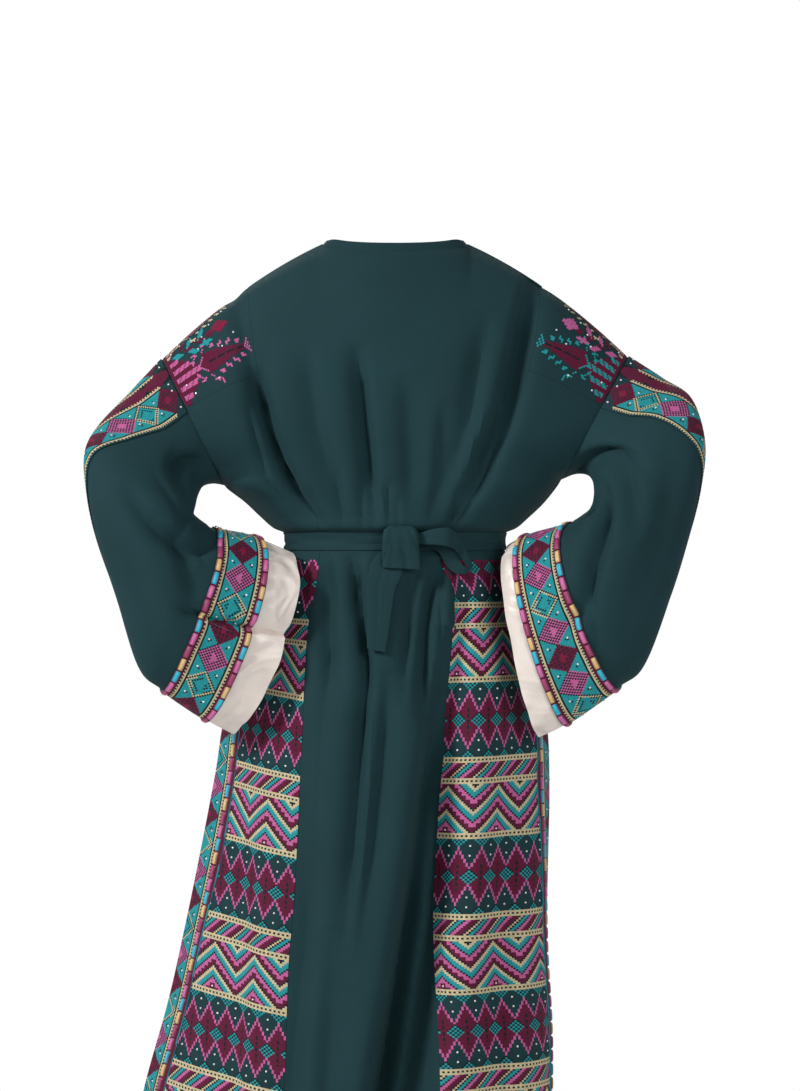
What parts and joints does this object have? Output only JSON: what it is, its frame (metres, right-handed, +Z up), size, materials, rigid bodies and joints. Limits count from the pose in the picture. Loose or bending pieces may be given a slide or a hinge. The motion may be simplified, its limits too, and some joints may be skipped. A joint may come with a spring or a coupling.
{
  "type": "long embroidered robe",
  "caption": "Long loose worn robe with drop shoulders, wide open sleeves, tied waist, and cross-stitch panels and borders.",
  "frame": {"origin": "midway between the side neck points, at the height where the wearer's shoulders carry the cloth", "axes": "+Z up the wearer, -Y out of the front, +X towards the wearer's left"},
  "size_m": [0.7815, 0.3552, 1.4112],
  "materials": {
    "cloth": "matt crepe, dark green-blue",
    "border": "dense cross stitch, turquoise with maroon, pink and cream",
    "satin": "glossy ivory satin"
  },
  "bodies": {
    "root": {"back_centre": "cloth", "side_back_left": "cloth", "side_back_right": "cloth", "shoulder_left": "cloth", "shoulder_right": "cloth", "front_left": "cloth", "front_right": "cloth", "side_front_left": "cloth", "side_front_right": "cloth", "sleeve_left": "cloth", "sleeve_right": "cloth", "neckband": "cloth", "belt_band": "cloth", "belt_knot": "cloth", "belt_tail": "cloth", "belt_loop": "cloth", "side_strip_left": "border", "side_strip_right": "border", "sleeve_strip_left": "border", "sleeve_strip_right": "border", "cuff_border_left": "border", "cuff_border_right": "border", "cuff_satin_left": "satin", "cuff_satin_right": "satin"}
  },
  "joints": []
}
